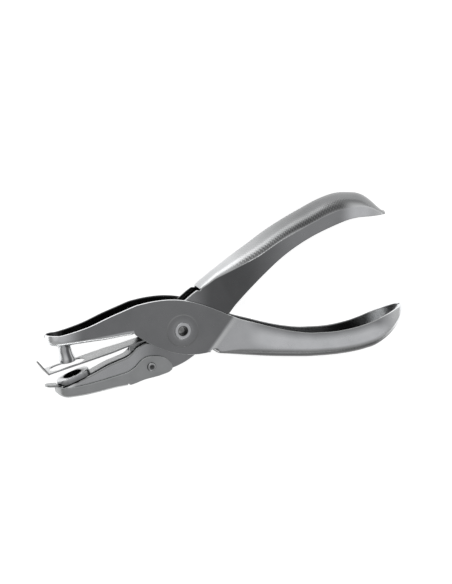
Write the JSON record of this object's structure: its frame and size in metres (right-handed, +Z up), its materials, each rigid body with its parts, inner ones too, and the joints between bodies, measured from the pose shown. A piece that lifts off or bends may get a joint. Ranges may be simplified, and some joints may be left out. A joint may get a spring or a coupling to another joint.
{
  "type": "hole punch",
  "caption": "Plier-style single-hole paper punch of nickel-plated pressed steel, with crossed channel levers, stripper plate and swing-down chip tray.",
  "frame": {"origin": "under the middle of the whole tool's bounding box, on the plane that its handles lie on", "axes": "the tool lies on its side: +X from the jaws towards the handles, along the longest extent; +Y from the lower handle towards the upper one; +Z up, along the pivot's axis, the shortest extent"},
  "size_m": [0.1378, 0.0682, 0.0146],
  "materials": {
    "nickel_plate": "nickel plate, semi-bright, with fine drawing lines",
    "satin_nickel": "satin nickel plate on rolled sheet",
    "bright_nickel": "bright nickel plate, polished",
    "spring_steel": "drawn spring wire, lightly oiled"
  },
  "bodies": {
    "outer": {"outer_lever": "nickel_plate", "punch_pin": "bright_nickel", "pivot_rivet": "bright_nickel", "pivot_bushing": "spring_steel", "return_spring": "spring_steel"},
    "inner": {"inner_lever": "nickel_plate", "die_boss": "bright_nickel", "stripper_plate": "satin_nickel", "stripper_rivet": "bright_nickel", "tray_rivet": "satin_nickel"},
    "tray": {"chip_tray": "satin_nickel"}
  },
  "joints": [
    {"name": "lever_pivot", "type": "hinge", "parent": "outer", "child": "inner", "pos_m": [-0.01651, -0.01224, 0.0073], "axis": [0, 0, -1], "range_deg": [0, 8], "stiffness_Nm_per_rad": 0.4, "springref_deg": -20.05, "deforming": ["return_spring"]},
    {"name": "tray_swing", "type": "hinge", "parent": "inner", "child": "tray", "pos_m": [-0.02801, -0.02464, 0.0073], "axis": [0, 0, 1], "range_deg": [0, 30]}
  ]
}
